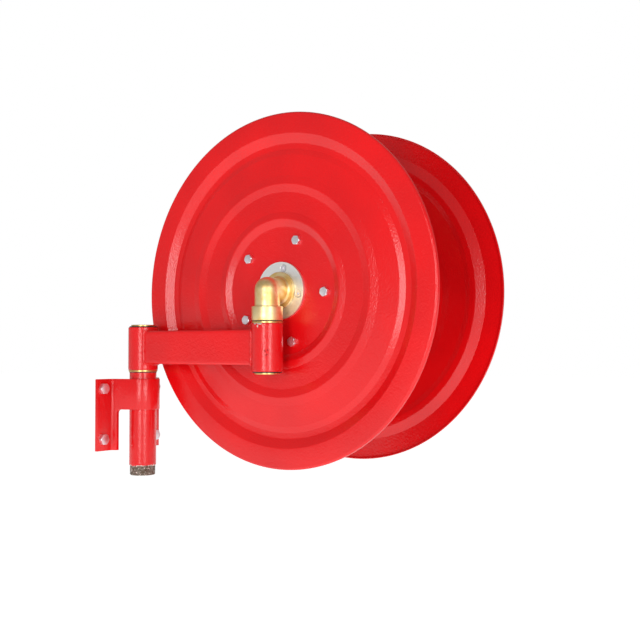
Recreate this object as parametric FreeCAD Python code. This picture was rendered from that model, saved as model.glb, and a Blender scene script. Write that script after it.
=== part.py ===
import FreeCAD, Part
import math
import os
from FreeCAD import Vector

# Swing-arm fire hose reel. +Z is up. The origin is the centre of the four wall bolts on the wall face,
# +X points out of the wall, and the reel stands on the +Y side of the arm. All sizes are millimetres.

# ---- Reel: two pressed discs and a drum ----
disc_d = 550.0             # over the rolled rims
reel_width = 215.5         # over the flat outer faces of the two discs
sheet_t = 1.5              # disc and drum sheet
rim_depth = 6.0            # how far the rim is turned towards the drum
rim_bend = 4.0             # outer radius of the rim's bend
rim_flat = 33.0            # radial width of the flat band inside the rim
cone_run = 14.0            # radial width of the slope into the groove
groove_floor = 9.0         # radial width of the groove's floor
groove_depth = 8.5         # below the rim band
wall_run = 9.0             # radial width of the groove's inner slope
shelf_depth = 5.3          # depth at the top of that slope
field_depth = 1.0          # depth of the panel between the ridges
hub_depth = 4.0            # depth of the hub panel
ridge_rise = 2.0           # how far the ridge crests stand proud of the rim band
inner_ridge_half = 11.2    # half width of the inner ridge
outer_ridge_half = 12.8    # half width of the outer ridge
outer_ridge_place = 0.545  # place of the outer ridge between the inner ridge and the groove, as a share
soft_bend = 9.0            # press radius of the ridges
tight_bend = 4.0           # press radius of the groove
drum_r = 96.0
drum_lip = 26.0            # width of the drum's inward flanges
drum_bend = 3.0
drum_to_ridge = 2.8        # from the drum to the foot of the inner ridge

# ---- Hub ----
hub_height = 195.0         # of the reel's axis above the origin
hub_bolt_inset = 14.5      # of the bolts that hold a disc to the drum, from the drum's outside
hub_bolt_count = 5
hub_bolt_angle = -3.0      # of the first bolt, degrees above +X
hub_flange_r = 44.0
hub_flange_t = 4.0
hub_sleeve_r = 29.2
hub_sleeve_end = 78.0      # length of the sleeve behind the flange's front face
screw_pitch_r = 34.5
screw_count = 4
screw_angle = -9.6
backing_ring_r = 48.0
backing_ring_t = 3.0
shaft_r = 17.95
running_gap = 0.05         # radial gap of a shaft in its bore
face_gap = 0.3             # gap between faces that turn past each other
chamber_r = 23.0           # water chamber cut in the sleeve's bore
chamber_length = 24.0
water_r = 11.0             # bore of the waterway
port_r = 5.0
port_count = 4
shaft_waist_r = 14.0
shaft_end = 86.0           # shaft end, behind the flange's front face
shaft_thread_r = 15.0
shaft_thread_length = 22.0
axle_r = 8.0
axle_grip = 20.0           # length of the axle screwed into the shaft
bush_r = 12.0
bush_length = 24.0
rear_sleeve_r = 20.0
rear_sleeve_length = 22.0
circlip_depth = 1.3        # of its groove in the shaft
circlip_t = 1.5
circlip_width = 4.0        # radial
circlip_ear_gap = 30.0     # opening of the circlip, degrees
waist_margin = 2.0         # from each end of the water chamber to the shaft's waist
thread_end = 2.0           # how far a bolt stands past its nut
axle_thread_end = 4.0      # how far the axle stands past its nut
screw_end = 1.0            # how far a flange screw stands past its backing ring

# ---- Drum outlet and hose tail ----
outlet_angle = 60.0        # of the outlet above +X
outlet_pipe_r = 10.5
outlet_pipe_bore = 8.0
outlet_socket_r = 15.0
outlet_socket_length = 22.0
outlet_bend_r = 14.5
outlet_run = 6.0           # how far the elbow's run reaches past its turn
hose_tail_r = 12.7         # for a hose of 25 mm bore
hose_tail_length = 52.0
hose_tail_lead = 10.0      # from its shoulder to the first groove
hose_tail_groove = 6.5     # spacing of its grooves
hose_tail_groove_length = 2.5
hose_tail_groove_depth = 0.8
hose_tail_grooves = 6
locknut_af = 32.0
locknut_t = 5.0

# ---- Arm and its two swivels ----
rim_past_inlet = 15.0      # how far the rim reaches past the inlet axis
arm_height = 53.5
arm_thick = 33.0
arm_wall = 3.0
arm_bottom = 81.0
collar_r = 24.15
collar_bore = 20.0
collar_bottom = 71.0
inlet_collar_length = 70.0
hub_collar_length = 73.0
disc_gap = 7.85            # from a collar to the front disc's flat face
axial_gap = 0.1
thrust_ring_r = 23.6
thrust_ring_t = 2.7
dust_seal_r = 22.7
dust_seal_t = 1.2
end_washer_r = 22.4
end_washer_t = 1.5
end_nut_r = 19.6
end_nut_t = 2.4
end_nut_face = 1.0         # thickness of the end nuts' closed face
end_thread_r = 14.0
spindle_waist_r = 15.0
spindle_land = 16.0        # length of each seal land
spindle_bore = 10.5
spindle_port_r = 5.5
oring_r = 1.5              # radius of the cords of all seals
oring_squeeze = 0.05
oring_width_gap = 0.2
oring_place = 8.0          # from a land's end to its groove's centre

# ---- Brass elbow ----
elbow_r = 19.15
elbow_cap_r = 23.65
elbow_cap_length = 21.7
elbow_thread_r = 16.0
elbow_thread_length = 17.0
elbow_ring_r = 28.4
elbow_ring_t = 4.3
elbow_flare = 4.0
turned_edge = 0.8          # rounding of the turned brass edges

# ---- Inlet pipe ----
inlet_axis_x = 37.0        # of the inlet pipe from the wall
pipe_r = 22.0
pipe_bore = 17.5
pipe_bottom = -101.0
inlet_thread_r = 20.955    # G 1 1/4 male
inlet_thread_length = 16.0
inlet_thread_lead = 1.0    # chamfer at its end
spigot_gap = 0.05
inlet_spigot_length = 17.0

# ---- Wall bracket and its bolts ----
plate_t = 5.5
bracket_top = 56.5
bracket_bottom = -60.0
bracket_half = 71.0        # half its width
bracket_neck = 39.2        # half the width between the bends
bracket_bend = 4.0
saddle_height = 50.0
lip_x = 13.5               # front edge of the side plates below the saddle
lip_corner = 6.0
wall_bolt_y = 118.0        # spacing across
wall_bolt_z = 82.0         # spacing up
wall_bolt_grip = 6.5       # length of the threads behind the wall face: M10 x 12 bolts
wall_thread_r = 4.513      # pitch radius of their M10 thread, which stands for its turns

# ---- Fasteners ----
m8_r = 4.0
m8_af = 13.0
m8_head = 5.3
m8_nut = 6.5
m8_washer_r = 8.0
m8_washer_t = 1.6
m10_r = 5.0
m10_af = 16.0
m10_head = 6.4
hole_gap = 0.25            # radial gap of a bolt in its clearance hole
m6_r = 3.0
m6_head_r = 6.0
m6_socket_af = 4.0
m6_socket_depth = 2.2
m16_af = 24.0
m16_nut = 12.0
m16_washer_r = 15.0
m16_washer_t = 2.5
overrun = 1.0              # how far a cutting shape reaches past what it cuts
tiny = 0.01                # tells apart places that coincide

# ---- Worked out from the above ----
disc_r = disc_d / 2
arm_length = disc_r - rim_past_inlet
hub_x = inlet_axis_x + arm_length
hub_z = hub_height
front_y = collar_r + disc_gap
rear_y = front_y + reel_width
hub_bolt_r = drum_r - hub_bolt_inset
hub_hole_r = hub_sleeve_r + face_gap
panel_y = front_y + hub_depth
rear_panel_y = rear_y - hub_depth
chamber_y = front_y + (hub_sleeve_end + hub_flange_t) / 2
circlip_y = front_y + hub_sleeve_end + face_gap
arm_top = arm_bottom + arm_height
shoulder_drop = axial_gap + thrust_ring_t + dust_seal_t
pipe_top = collar_bottom - shoulder_drop
hub_collar_top = collar_bottom + hub_collar_length
cap_bottom = hub_collar_top + shoulder_drop
saddle_r = pipe_r + plate_t
outlet_dir = Vector(math.cos(math.radians(outlet_angle)), 0, math.sin(math.radians(outlet_angle)))
outlet_tangent = Vector(-outlet_dir.z, 0, outlet_dir.x)
UP = Vector(0, 0, 1)
OUT = Vector(1, 0, 0)
BACK = Vector(0, 1, 0)


# ---- Helpers ----
def cylinder(radius, length, base, direction=UP):
    return Part.makeCylinder(radius, length, base, direction)


def ring(outer, inner, length, base, direction=UP):
    return cylinder(outer, length, base, direction).cut(cylinder(inner, length, base, direction))


def box(low, high):
    size = high - low
    return Part.makeBox(size.x, size.y, size.z, low)


def on_circle(centre, radius, count, first, normal_y):
    """Places on a circle about the reel's axis, at the height normal_y."""
    angles = [math.radians(first + 360.0 * k / count) for k in range(count)]
    return [centre + Vector(radius * math.cos(a), normal_y, radius * math.sin(a)) for a in angles]


def hexagon(across_flats, length, base, direction):
    """A hexagonal prism with its corners turned off at the far end."""
    corner = across_flats / math.sqrt(3)
    corners = [Vector(corner * math.cos(math.radians(60 * k)), corner * math.sin(math.radians(60 * k)), 0)
               for k in range(7)]
    prism = Part.Face(Part.makePolygon(corners)).extrude(Vector(0, 0, length))
    rise = (corner - across_flats / 2) * math.tan(math.radians(30))
    turned = cylinder(corner, length - rise, Vector(0, 0, 0)).fuse(
        Part.makeCone(corner, across_flats / 2, rise, Vector(0, 0, length - rise)))
    shape = prism.common(turned)
    shape.Placement = FreeCAD.Placement(base, FreeCAD.Rotation(UP, direction))
    return shape


def bolt(base, direction, radius, across_flats, head, shank):
    """A hexagon bolt whose head rests at base and rises along direction."""
    return hexagon(across_flats, head, base, direction).fuse(cylinder(radius, shank, base, direction * -1))


def nut(base, direction):
    bore = cylinder(m8_r, m8_nut, base, direction)
    return hexagon(m8_af, m8_nut, base, direction).cut(bore)


def turned_corner(before, corner, after, radius):
    """The two tangent points and the middle point of an arc that rounds a corner of a path."""
    back = (before - corner).normalize()
    ahead = (after - corner).normalize()
    half = back.getAngle(ahead) / 2
    reach = radius / math.tan(half)
    middle = (back + ahead).normalize()
    centre = corner + middle * (radius / math.sin(half))
    return corner + back * reach, centre - middle * radius, corner + ahead * reach


def rounded_path(points, radii):
    """Lines and tangent arcs through the points; radii belong to the inner points."""
    edges = []
    start = points[0]
    for before, corner, after, radius in zip(points, points[1:], points[2:], radii):
        first, middle, last = turned_corner(before, corner, after, radius)
        edges += [Part.LineSegment(start, first).toShape(), Part.Arc(first, middle, last).toShape()]
        start = last
    return edges + [Part.LineSegment(start, points[-1]).toShape()]


def turns_left(before, corner, after):
    return (corner - before).cross(after - corner).z > 0


def offset_path(points, distance):
    """The path moved to its left by a distance, with mitred corners, in the XY plane."""
    normals = [Vector(-(b - a).y, (b - a).x, 0).normalize() for a, b in zip(points, points[1:])]
    moved = [points[0] + normals[0] * distance]
    for corner, n, m in zip(points[1:], normals, normals[1:]):
        moved.append(corner + (n + m) * (distance / (1 + n.dot(m))))
    return moved + [points[-1] + normals[-1] * distance]


def sheet_ring(profile, radii, thickness):
    """Sheet metal turned about the Y axis: profile is its outer face as (radius, y) points."""
    outer = [Vector(r, y, 0) for r, y in profile]
    inner = offset_path(outer, thickness)
    corners = zip(outer, outer[1:], outer[2:], radii)
    inner_radii = [r - thickness if turns_left(a, b, c) else r + thickness for a, b, c, r in corners]
    edges = rounded_path(outer, radii) + rounded_path(inner, inner_radii)
    edges += [Part.LineSegment(outer[end], inner[end]).toShape() for end in (0, -1)]
    section = Part.Face(Part.Wire(Part.__sortEdges__(edges)))
    solid = section.revolve(Vector(0, 0, 0), BACK, 360)
    solid.translate(Vector(hub_x, 0, hub_z))
    return solid


def cut_all(shape, tools):
    for tool in tools:
        shape = shape.cut(tool)
    return shape


def group(shapes):
    return Part.makeCompound(shapes)


hub_centre = Vector(hub_x, 0, hub_z)


# ---- Reel ----
def disc_profile():
    """The outer face of a disc from the hub hole to the rim, as (radius, depth) points and bend radii."""
    inner_ridge_r = drum_r + drum_to_ridge + inner_ridge_half
    groove_outer = disc_r - rim_flat
    groove_inner = groove_outer - cone_run - groove_floor - wall_run
    outer_ridge_r = inner_ridge_r + outer_ridge_place * (groove_inner - inner_ridge_r)
    points = [
        (hub_hole_r, hub_depth),
        (inner_ridge_r - inner_ridge_half, hub_depth),
        (inner_ridge_r, -ridge_rise),
        (inner_ridge_r + inner_ridge_half, field_depth),
        (outer_ridge_r - outer_ridge_half, field_depth),
        (outer_ridge_r, -ridge_rise),
        (outer_ridge_r + outer_ridge_half, field_depth),
        (groove_inner, shelf_depth),
        (groove_inner + wall_run, groove_depth),
        (groove_inner + wall_run + groove_floor, groove_depth),
        (groove_outer, 0.0),
        (disc_r, 0.0),
        (disc_r, rim_depth),
    ]
    return points, [soft_bend] * 6 + [tight_bend] * 4 + [rim_bend]


def disc_holes(y):
    bolts = on_circle(hub_centre, hub_bolt_r, hub_bolt_count, hub_bolt_angle, y)
    screws = on_circle(hub_centre, screw_pitch_r, screw_count, screw_angle, y)
    deep = 4 * (sheet_t + backing_ring_t)
    start = BACK * (deep / 2)
    holes = [cylinder(m8_r + hole_gap, deep, p - start, BACK) for p in bolts]
    return holes + [cylinder(m6_r + hole_gap, deep, p - start, BACK) for p in screws]


def front_disc():
    points, radii = disc_profile()
    disc = sheet_ring([(r, front_y + depth) for r, depth in points], radii, sheet_t)
    return cut_all(disc, disc_holes(panel_y))


def rear_disc():
    middle = (front_y + rear_y) / 2
    disc = front_disc().mirror(Vector(0, middle, 0), BACK)
    return Part.Solid(disc.Solids[0])


def drum_shell():
    start = panel_y + sheet_t
    end = rear_panel_y - sheet_t
    lip_r = drum_r - drum_lip
    profile = [(lip_r, start), (drum_r, start), (drum_r, end), (lip_r, end)]
    shell = sheet_ring(profile, [drum_bend + sheet_t] * 2, sheet_t)
    outlet = cylinder(outlet_pipe_r + hole_gap, drum_r, Vector(hub_x, chamber_y, hub_z) + outlet_dir * lip_r,
                      outlet_dir)
    return cut_all(shell, disc_holes(start)[:hub_bolt_count] + disc_holes(end)[:hub_bolt_count] + [outlet])


def disc_bolts(y, direction):
    shank = 2 * sheet_t + m8_washer_t + m8_nut + thread_end
    places = on_circle(hub_centre, hub_bolt_r, hub_bolt_count, hub_bolt_angle, y)
    return group([bolt(p, direction, m8_r, m8_af, m8_head, shank) for p in places])


def disc_nuts(y, direction):
    """Washers and nuts inside the drum, stacked along direction from y."""
    places = on_circle(hub_centre, hub_bolt_r, hub_bolt_count, hub_bolt_angle, y)
    washers = [ring(m8_washer_r, m8_r + hole_gap, m8_washer_t, p, direction) for p in places]
    return group(washers), group([nut(p + direction * m8_washer_t, direction) for p in places])


# ---- Hub ----
def countersunk(place, direction, length):
    """A socket countersunk screw whose head is flush at place; direction points into the work."""
    head = Part.makeCone(m6_head_r, m6_r, m6_head_r - m6_r, place, direction)
    socket = hexagon(m6_socket_af, m6_socket_depth, place, direction)
    return head.fuse(cylinder(m6_r, length, place, direction)).cut(socket)


def screw_seats(y, direction):
    places = on_circle(hub_centre, screw_pitch_r, screw_count, screw_angle, y)
    seats = [Part.makeCone(m6_head_r, m6_r, m6_head_r - m6_r, p, direction) for p in places]
    return seats + [cylinder(m6_r, hub_flange_t + overrun, p, direction) for p in places]


def flange_screws(y, direction):
    length = hub_flange_t + sheet_t + backing_ring_t + screw_end
    places = on_circle(hub_centre, screw_pitch_r, screw_count, screw_angle, y)
    return group([countersunk(p, direction, length) for p in places])


def backing_ring(y):
    base = Vector(hub_x, y, hub_z)
    holes = [cylinder(m6_r, backing_ring_t, p, BACK)
             for p in on_circle(hub_centre, screw_pitch_r, screw_count, screw_angle, y)]
    return cut_all(ring(backing_ring_r, hub_hole_r, backing_ring_t, base, BACK), holes)


def hub_body():
    front = Vector(hub_x, front_y, hub_z)
    body = cylinder(hub_flange_r, hub_flange_t, front, BACK).fuse(
        cylinder(hub_sleeve_r, hub_sleeve_end, front, BACK))
    body = body.cut(cylinder(shaft_r + running_gap, hub_sleeve_end, front, BACK))
    chamber = Vector(hub_x, chamber_y - chamber_length / 2, hub_z)
    body = body.cut(cylinder(chamber_r, chamber_length, chamber, BACK))
    body = body.cut(cylinder(outlet_pipe_r, hub_sleeve_r, Vector(hub_x, chamber_y, hub_z), outlet_dir))
    return cut_all(body, screw_seats(front_y, BACK))


def seal_groove(radius, y):
    width = 2 * (oring_r + oring_width_gap)
    floor = radius - 2 * oring_r - oring_squeeze
    return ring(radius + overrun, floor, width, Vector(hub_x, y - width / 2, hub_z), BACK)


def shaft_seal_places():
    land = (hub_sleeve_end - chamber_length - hub_flange_t) / 4
    reach = chamber_length / 2 + land
    return [chamber_y - reach, chamber_y + reach]


def hub_shaft():
    shoulder = front_y - face_gap
    end = front_y + shaft_end
    base = Vector(hub_x, shoulder, hub_z)
    shaft = cylinder(shaft_r, end - shoulder, base, BACK).fuse(
        cylinder(shaft_thread_r, shaft_thread_length, base - BACK * shaft_thread_length, BACK))
    waist = chamber_length - 2 * waist_margin
    waist_base = Vector(hub_x, chamber_y - waist / 2, hub_z)
    shaft = shaft.cut(ring(shaft_r + overrun, shaft_waist_r, waist, waist_base, BACK))
    bore_end = chamber_y + waist / 2
    bore_start = shoulder - shaft_thread_length
    shaft = shaft.cut(cylinder(water_r, bore_end - bore_start, Vector(hub_x, bore_start, hub_z), BACK))
    ports = [cylinder(port_r, shaft_r, Vector(hub_x, chamber_y, hub_z),
                      Vector(math.cos(a), 0, math.sin(a)))
             for a in [2 * math.pi * k / port_count for k in range(port_count)]]
    grooves = [seal_groove(shaft_r, y) for y in shaft_seal_places()]
    clip = ring(shaft_r + overrun, shaft_r - circlip_depth, circlip_t, Vector(hub_x, circlip_y, hub_z), BACK)
    axle = cylinder(axle_r, axle_grip, Vector(hub_x, end - axle_grip, hub_z), BACK)
    return cut_all(shaft, ports + grooves + [clip, axle])


def hub_circlip():
    base = Vector(hub_x, circlip_y, hub_z)
    inner = shaft_r - circlip_depth
    clip = ring(inner + circlip_width, inner, circlip_t, base, BACK)
    gap = Part.makeCylinder(inner + 2 * circlip_width, circlip_t, base, BACK, circlip_ear_gap)
    return clip.cut(gap)


def hub_seals():
    centre_r = shaft_r - oring_r
    return group([Part.makeTorus(centre_r, oring_r, Vector(hub_x, y, hub_z), BACK)
                  for y in shaft_seal_places()])


def axle_rod():
    start = front_y + shaft_end - axle_grip
    end = rear_y + face_gap + m16_washer_t + m16_nut + axle_thread_end
    return cylinder(axle_r, end - start, Vector(hub_x, start, hub_z), BACK)


def rear_hub_flange():
    outer = Vector(hub_x, rear_y, hub_z)
    inward = BACK * -1
    body = cylinder(hub_flange_r, hub_flange_t, outer, inward).fuse(
        cylinder(rear_sleeve_r, rear_sleeve_length + hub_flange_t, outer, inward))
    body = body.cut(cylinder(bush_r, rear_sleeve_length + hub_flange_t, outer, inward))
    return cut_all(body, screw_seats(rear_y, inward))


def rear_bush():
    return ring(bush_r, axle_r + running_gap, bush_length, Vector(hub_x, rear_y, hub_z), BACK * -1)


def axle_washer():
    return ring(m16_washer_r, axle_r, m16_washer_t, Vector(hub_x, rear_y + face_gap, hub_z), BACK)


def axle_nut():
    base = Vector(hub_x, rear_y + face_gap + m16_washer_t, hub_z)
    return hexagon(m16_af, m16_nut, base, BACK).cut(cylinder(axle_r, m16_nut, base, BACK))


# ---- Drum outlet ----
def radial(distance):
    """A place on the outlet's radial line, at a distance from the reel's axis."""
    return Vector(hub_x, chamber_y, hub_z) + outlet_dir * distance


def outlet_pipe():
    length = drum_r + locknut_t + outlet_socket_length / 2 - chamber_r
    return ring(outlet_pipe_r, outlet_pipe_bore, length, radial(chamber_r), outlet_dir)


def outlet_locknut():
    nut_shape = hexagon(locknut_af, locknut_t, radial(drum_r), outlet_dir)
    return nut_shape.cut(cylinder(outlet_pipe_r, locknut_t, radial(drum_r), outlet_dir))


def outlet_corner():
    return radial(drum_r + locknut_t + outlet_socket_length + outlet_bend_r - outlet_pipe_r)


def outlet_elbow():
    foot = radial(drum_r + locknut_t)
    corner = outlet_corner()
    rise = (corner - foot).Length
    body = cylinder(outlet_socket_r, rise, foot, outlet_dir)
    body = body.fuse(Part.makeSphere(outlet_socket_r, corner))
    body = body.fuse(cylinder(outlet_socket_r, outlet_socket_r + outlet_run, corner, outlet_tangent))
    bore = cylinder(outlet_pipe_bore, rise, foot, outlet_dir).fuse(
        Part.makeSphere(outlet_pipe_bore, corner)).fuse(
        cylinder(outlet_pipe_bore, outlet_socket_r + outlet_run, corner, outlet_tangent))
    socket = cylinder(outlet_pipe_r, outlet_socket_length / 2, foot, outlet_dir)
    return body.cut(bore).cut(socket)


def hose_tail():
    base = outlet_corner() + outlet_tangent * (outlet_socket_r + outlet_run)
    tail = ring(hose_tail_r, outlet_pipe_bore, hose_tail_length, base, outlet_tangent)
    for k in range(hose_tail_grooves):
        along = base + outlet_tangent * (hose_tail_lead + k * hose_tail_groove)
        outer = Part.makeCone(hose_tail_r - hose_tail_groove_depth, hose_tail_r, hose_tail_groove_length,
                              along, outlet_tangent)
        band = cylinder(hose_tail_r + overrun, hose_tail_groove_length, along, outlet_tangent)
        tail = tail.cut(band.cut(outer))
    return tail


# ---- Swivels: built with the collar standing on Z = 0, then put in place ----
def spindle(length, spigot_r, spigot_length):
    journal_r = collar_bore - running_gap
    body = cylinder(journal_r, length + shoulder_drop + axial_gap, Vector(0, 0, -shoulder_drop))
    body = body.fuse(cylinder(spigot_r, spigot_length, Vector(0, 0, -shoulder_drop - spigot_length)))
    stub = end_washer_t + end_nut_t - end_nut_face
    body = body.fuse(cylinder(end_thread_r, stub, Vector(0, 0, length + axial_gap)))
    waist = length - 2 * spindle_land
    body = body.cut(ring(collar_bore, spindle_waist_r, waist, Vector(0, 0, spindle_land)))
    bore_start = -shoulder_drop - spigot_length
    bore_end = length - spindle_land
    body = body.cut(cylinder(spindle_bore, bore_end - bore_start, Vector(0, 0, bore_start)))
    middle = Vector(0, 0, length / 2)
    for k in range(port_count):
        angle = 2 * math.pi * (k + 0.5) / port_count
        port = Vector(math.cos(angle), math.sin(angle), 0)
        body = body.cut(cylinder(spindle_port_r, collar_bore, middle, port))
    width = 2 * (oring_r + oring_width_gap)
    floor = journal_r - 2 * oring_r - oring_squeeze
    for z in spindle_seal_places(length):
        body = body.cut(ring(collar_bore, floor, width, Vector(0, 0, z - width / 2)))
    return body


def spindle_seal_places(length):
    return [oring_place, length - oring_place]


def spindle_seals(length):
    centre_r = collar_bore - running_gap - oring_r
    return group([Part.makeTorus(centre_r, oring_r, Vector(0, 0, z)) for z in spindle_seal_places(length)])


def thrust_ring():
    return ring(thrust_ring_r, collar_bore, thrust_ring_t, Vector(0, 0, -axial_gap - thrust_ring_t))


def dust_seal():
    return ring(dust_seal_r, collar_bore, dust_seal_t, Vector(0, 0, -shoulder_drop))


def end_washer(length):
    return ring(end_washer_r, end_thread_r, end_washer_t, Vector(0, 0, length + axial_gap))


def end_nut(length):
    base = Vector(0, 0, length + axial_gap + end_washer_t)
    disc = cylinder(end_nut_r, end_nut_t, base)
    disc = disc.makeFillet(turned_edge, [e for e in disc.Edges if e.BoundBox.ZMin > base.z + end_nut_t / 2])
    return disc.cut(cylinder(end_thread_r, end_nut_t - end_nut_face, base))


def at_inlet(shape):
    shape.translate(Vector(inlet_axis_x, 0, collar_bottom))
    return shape


def at_hub_collar(shape):
    shape.rotate(Vector(0, 0, 0), OUT, 180)
    shape.translate(Vector(hub_x, 0, hub_collar_top))
    return shape


# ---- Arm ----
def arm_section(margin):
    low = Vector(inlet_axis_x, -arm_thick / 2 + margin, arm_bottom + margin)
    high = Vector(hub_x, arm_thick / 2 - margin, arm_top - margin)
    return box(low, high)


def collar(x, length):
    return ring(collar_r, collar_bore, length, Vector(x, 0, collar_bottom)).cut(arm_section(arm_wall))


def arm_box():
    tube = arm_section(0).cut(arm_section(arm_wall))
    longest = max(inlet_collar_length, hub_collar_length)
    ends = [cylinder(collar_r, longest, Vector(x, 0, collar_bottom)) for x in (inlet_axis_x, hub_x)]
    return cut_all(tube, ends)


# ---- Brass elbow ----
def brass_elbow():
    cap = cylinder(elbow_cap_r, elbow_cap_length, Vector(hub_x, 0, cap_bottom))
    cap = cap.makeFillet(turned_edge, [e for e in cap.Edges if len(e.Vertexes) == 1])
    leg = cylinder(elbow_r, hub_z - cap_bottom, Vector(hub_x, 0, cap_bottom))
    ball = Part.makeSphere(elbow_r, hub_centre)
    face = front_y - face_gap
    run = cylinder(elbow_r, face, hub_centre, BACK)
    flange_start = face - elbow_ring_t
    flange = cylinder(elbow_ring_r, elbow_ring_t, Vector(hub_x, flange_start, hub_z), BACK)
    front_edge = [e for e in flange.Edges if len(e.Vertexes) == 1 and e.BoundBox.YMax < face]
    flange = flange.makeFillet(turned_edge, front_edge)
    flare = Part.makeCone(elbow_r, elbow_r + elbow_flare, elbow_flare,
                          Vector(hub_x, flange_start - elbow_flare, hub_z), BACK)
    body = cap.fuse(leg).fuse(ball).fuse(run).fuse(flare).fuse(flange)
    bore = cylinder(water_r, hub_z - cap_bottom, Vector(hub_x, 0, cap_bottom)).fuse(
        Part.makeSphere(water_r, hub_centre)).fuse(cylinder(water_r, face, hub_centre, BACK))
    lower = cylinder(elbow_thread_r, elbow_thread_length, Vector(hub_x, 0, cap_bottom))
    rear_base = Vector(hub_x, face - shaft_thread_length, hub_z)
    rear = cylinder(shaft_thread_r, shaft_thread_length, rear_base, BACK)
    return body.cut(bore).cut(lower).cut(rear)


# ---- Inlet pipe ----
def inlet_pipe():
    bare_top = pipe_bottom + inlet_thread_length
    tube = cylinder(pipe_r, pipe_top - bare_top, Vector(inlet_axis_x, 0, bare_top))
    thread = cylinder(inlet_thread_r, inlet_thread_length, Vector(inlet_axis_x, 0, pipe_bottom))
    lead = [e for e in thread.Edges if e.BoundBox.ZMax < pipe_bottom + inlet_thread_lead]
    thread = thread.makeChamfer(inlet_thread_lead, lead)
    bore = cylinder(pipe_bore, pipe_top - pipe_bottom, Vector(inlet_axis_x, 0, pipe_bottom))
    return tube.fuse(thread).cut(bore)


# ---- Wall bracket ----
def saddle_tangent(radius):
    """Where a side plate meets the round saddle, on the side away from +Y."""
    centre = Vector(inlet_axis_x, 0, 0)
    bend = Vector(plate_t, -bracket_neck, 0)
    reach = bend - centre
    angle = math.atan2(reach.y, reach.x) + math.acos(saddle_r / reach.Length)
    return centre + Vector(math.cos(angle), math.sin(angle), 0) * radius


def hat_outline(start, bend, radius, bend_r):
    """Half outline from start round the bend to the saddle, its mirror image, and the saddle's arc."""
    touch = saddle_tangent(radius)
    half = rounded_path([start, bend, touch], [bend_r])
    crown = Vector(inlet_axis_x + radius, 0, 0)
    across = Vector(touch.x, -touch.y, 0)
    mirrored = [e.mirror(Vector(0, 0, 0), BACK) for e in half]
    return half + [Part.Arc(touch, crown, across).toShape()] + mirrored


def plate_prism(edges, low, high):
    face = Part.Face(Part.Wire(Part.__sortEdges__(edges)))
    face.translate(Vector(0, 0, low))
    return face.extrude(Vector(0, 0, high - low))


def wall_bracket():
    height = bracket_top - bracket_bottom
    front_bend = Vector(plate_t, -bracket_neck, 0)
    slope = (saddle_tangent(saddle_r) - front_bend).normalize()
    inside = front_bend + Vector(-slope.y, slope.x, 0) * plate_t
    back_bend = inside - slope * (inside.x / slope.x)
    outer = hat_outline(Vector(plate_t, -bracket_half, 0), front_bend, saddle_r, bracket_bend)
    corners = [Vector(plate_t, -bracket_half, 0), Vector(0, -bracket_half, 0),
               Vector(0, bracket_half, 0), Vector(plate_t, bracket_half, 0)]
    outer += [Part.LineSegment(a, b).toShape() for a, b in zip(corners, corners[1:])]
    back_start = back_bend - Vector(0, 2 * plate_t + bracket_bend, 0)
    hollow = hat_outline(back_start, back_bend, pipe_r, bracket_bend + plate_t)
    inner = [e for e in hollow if e.BoundBox.XMax > tiny]
    mouth = max(e.BoundBox.YMax for e in inner)
    inner += [Part.LineSegment(Vector(0, -mouth, 0), Vector(0, mouth, 0)).toShape()]
    plate = plate_prism(outer, bracket_bottom, bracket_top)
    plate = plate.cut(plate_prism(inner, bracket_bottom, bracket_top))
    saddle_bottom = bracket_top - saddle_height
    relief = box(Vector(lip_x, -bracket_half, bracket_bottom),
                 Vector(lip_x + height, bracket_half, saddle_bottom))
    corner = [e for e in relief.Edges
              if e.BoundBox.XMax < lip_x + tiny and e.BoundBox.ZMin > saddle_bottom - tiny]
    plate = plate.cut(relief.makeFillet(lip_corner, corner))
    return cut_all(plate, [cylinder(m10_r + hole_gap, plate_t, p, OUT) for p in wall_bolt_places()])


def wall_bolt_places():
    return [Vector(0, y * wall_bolt_y / 2, z * wall_bolt_z / 2) for y in (-1, 1) for z in (-1, 1)]


def wall_bolts():
    """Bolts with a plain shank through the plate and a thread behind the wall face."""
    bolts = []
    for place in wall_bolt_places():
        thread = cylinder(wall_thread_r, wall_bolt_grip, place, OUT * -1)
        head = bolt(place + OUT * plate_t, OUT, m10_r, m10_af, m10_head, plate_t)
        bolts.append(head.fuse(thread))
    return group(bolts)


# ---- All nodes ----
inner_face = panel_y + sheet_t
rear_inner_face = rear_panel_y - sheet_t
INWARD = BACK * -1
lip_inside = inner_face + sheet_t
rear_lip_inside = rear_inner_face - sheet_t
front_washers, front_nuts = disc_nuts(lip_inside, BACK)
rear_washers, rear_nuts = disc_nuts(rear_lip_inside, INWARD)
inlet_length = inlet_collar_length
outlet_length = hub_collar_length

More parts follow.
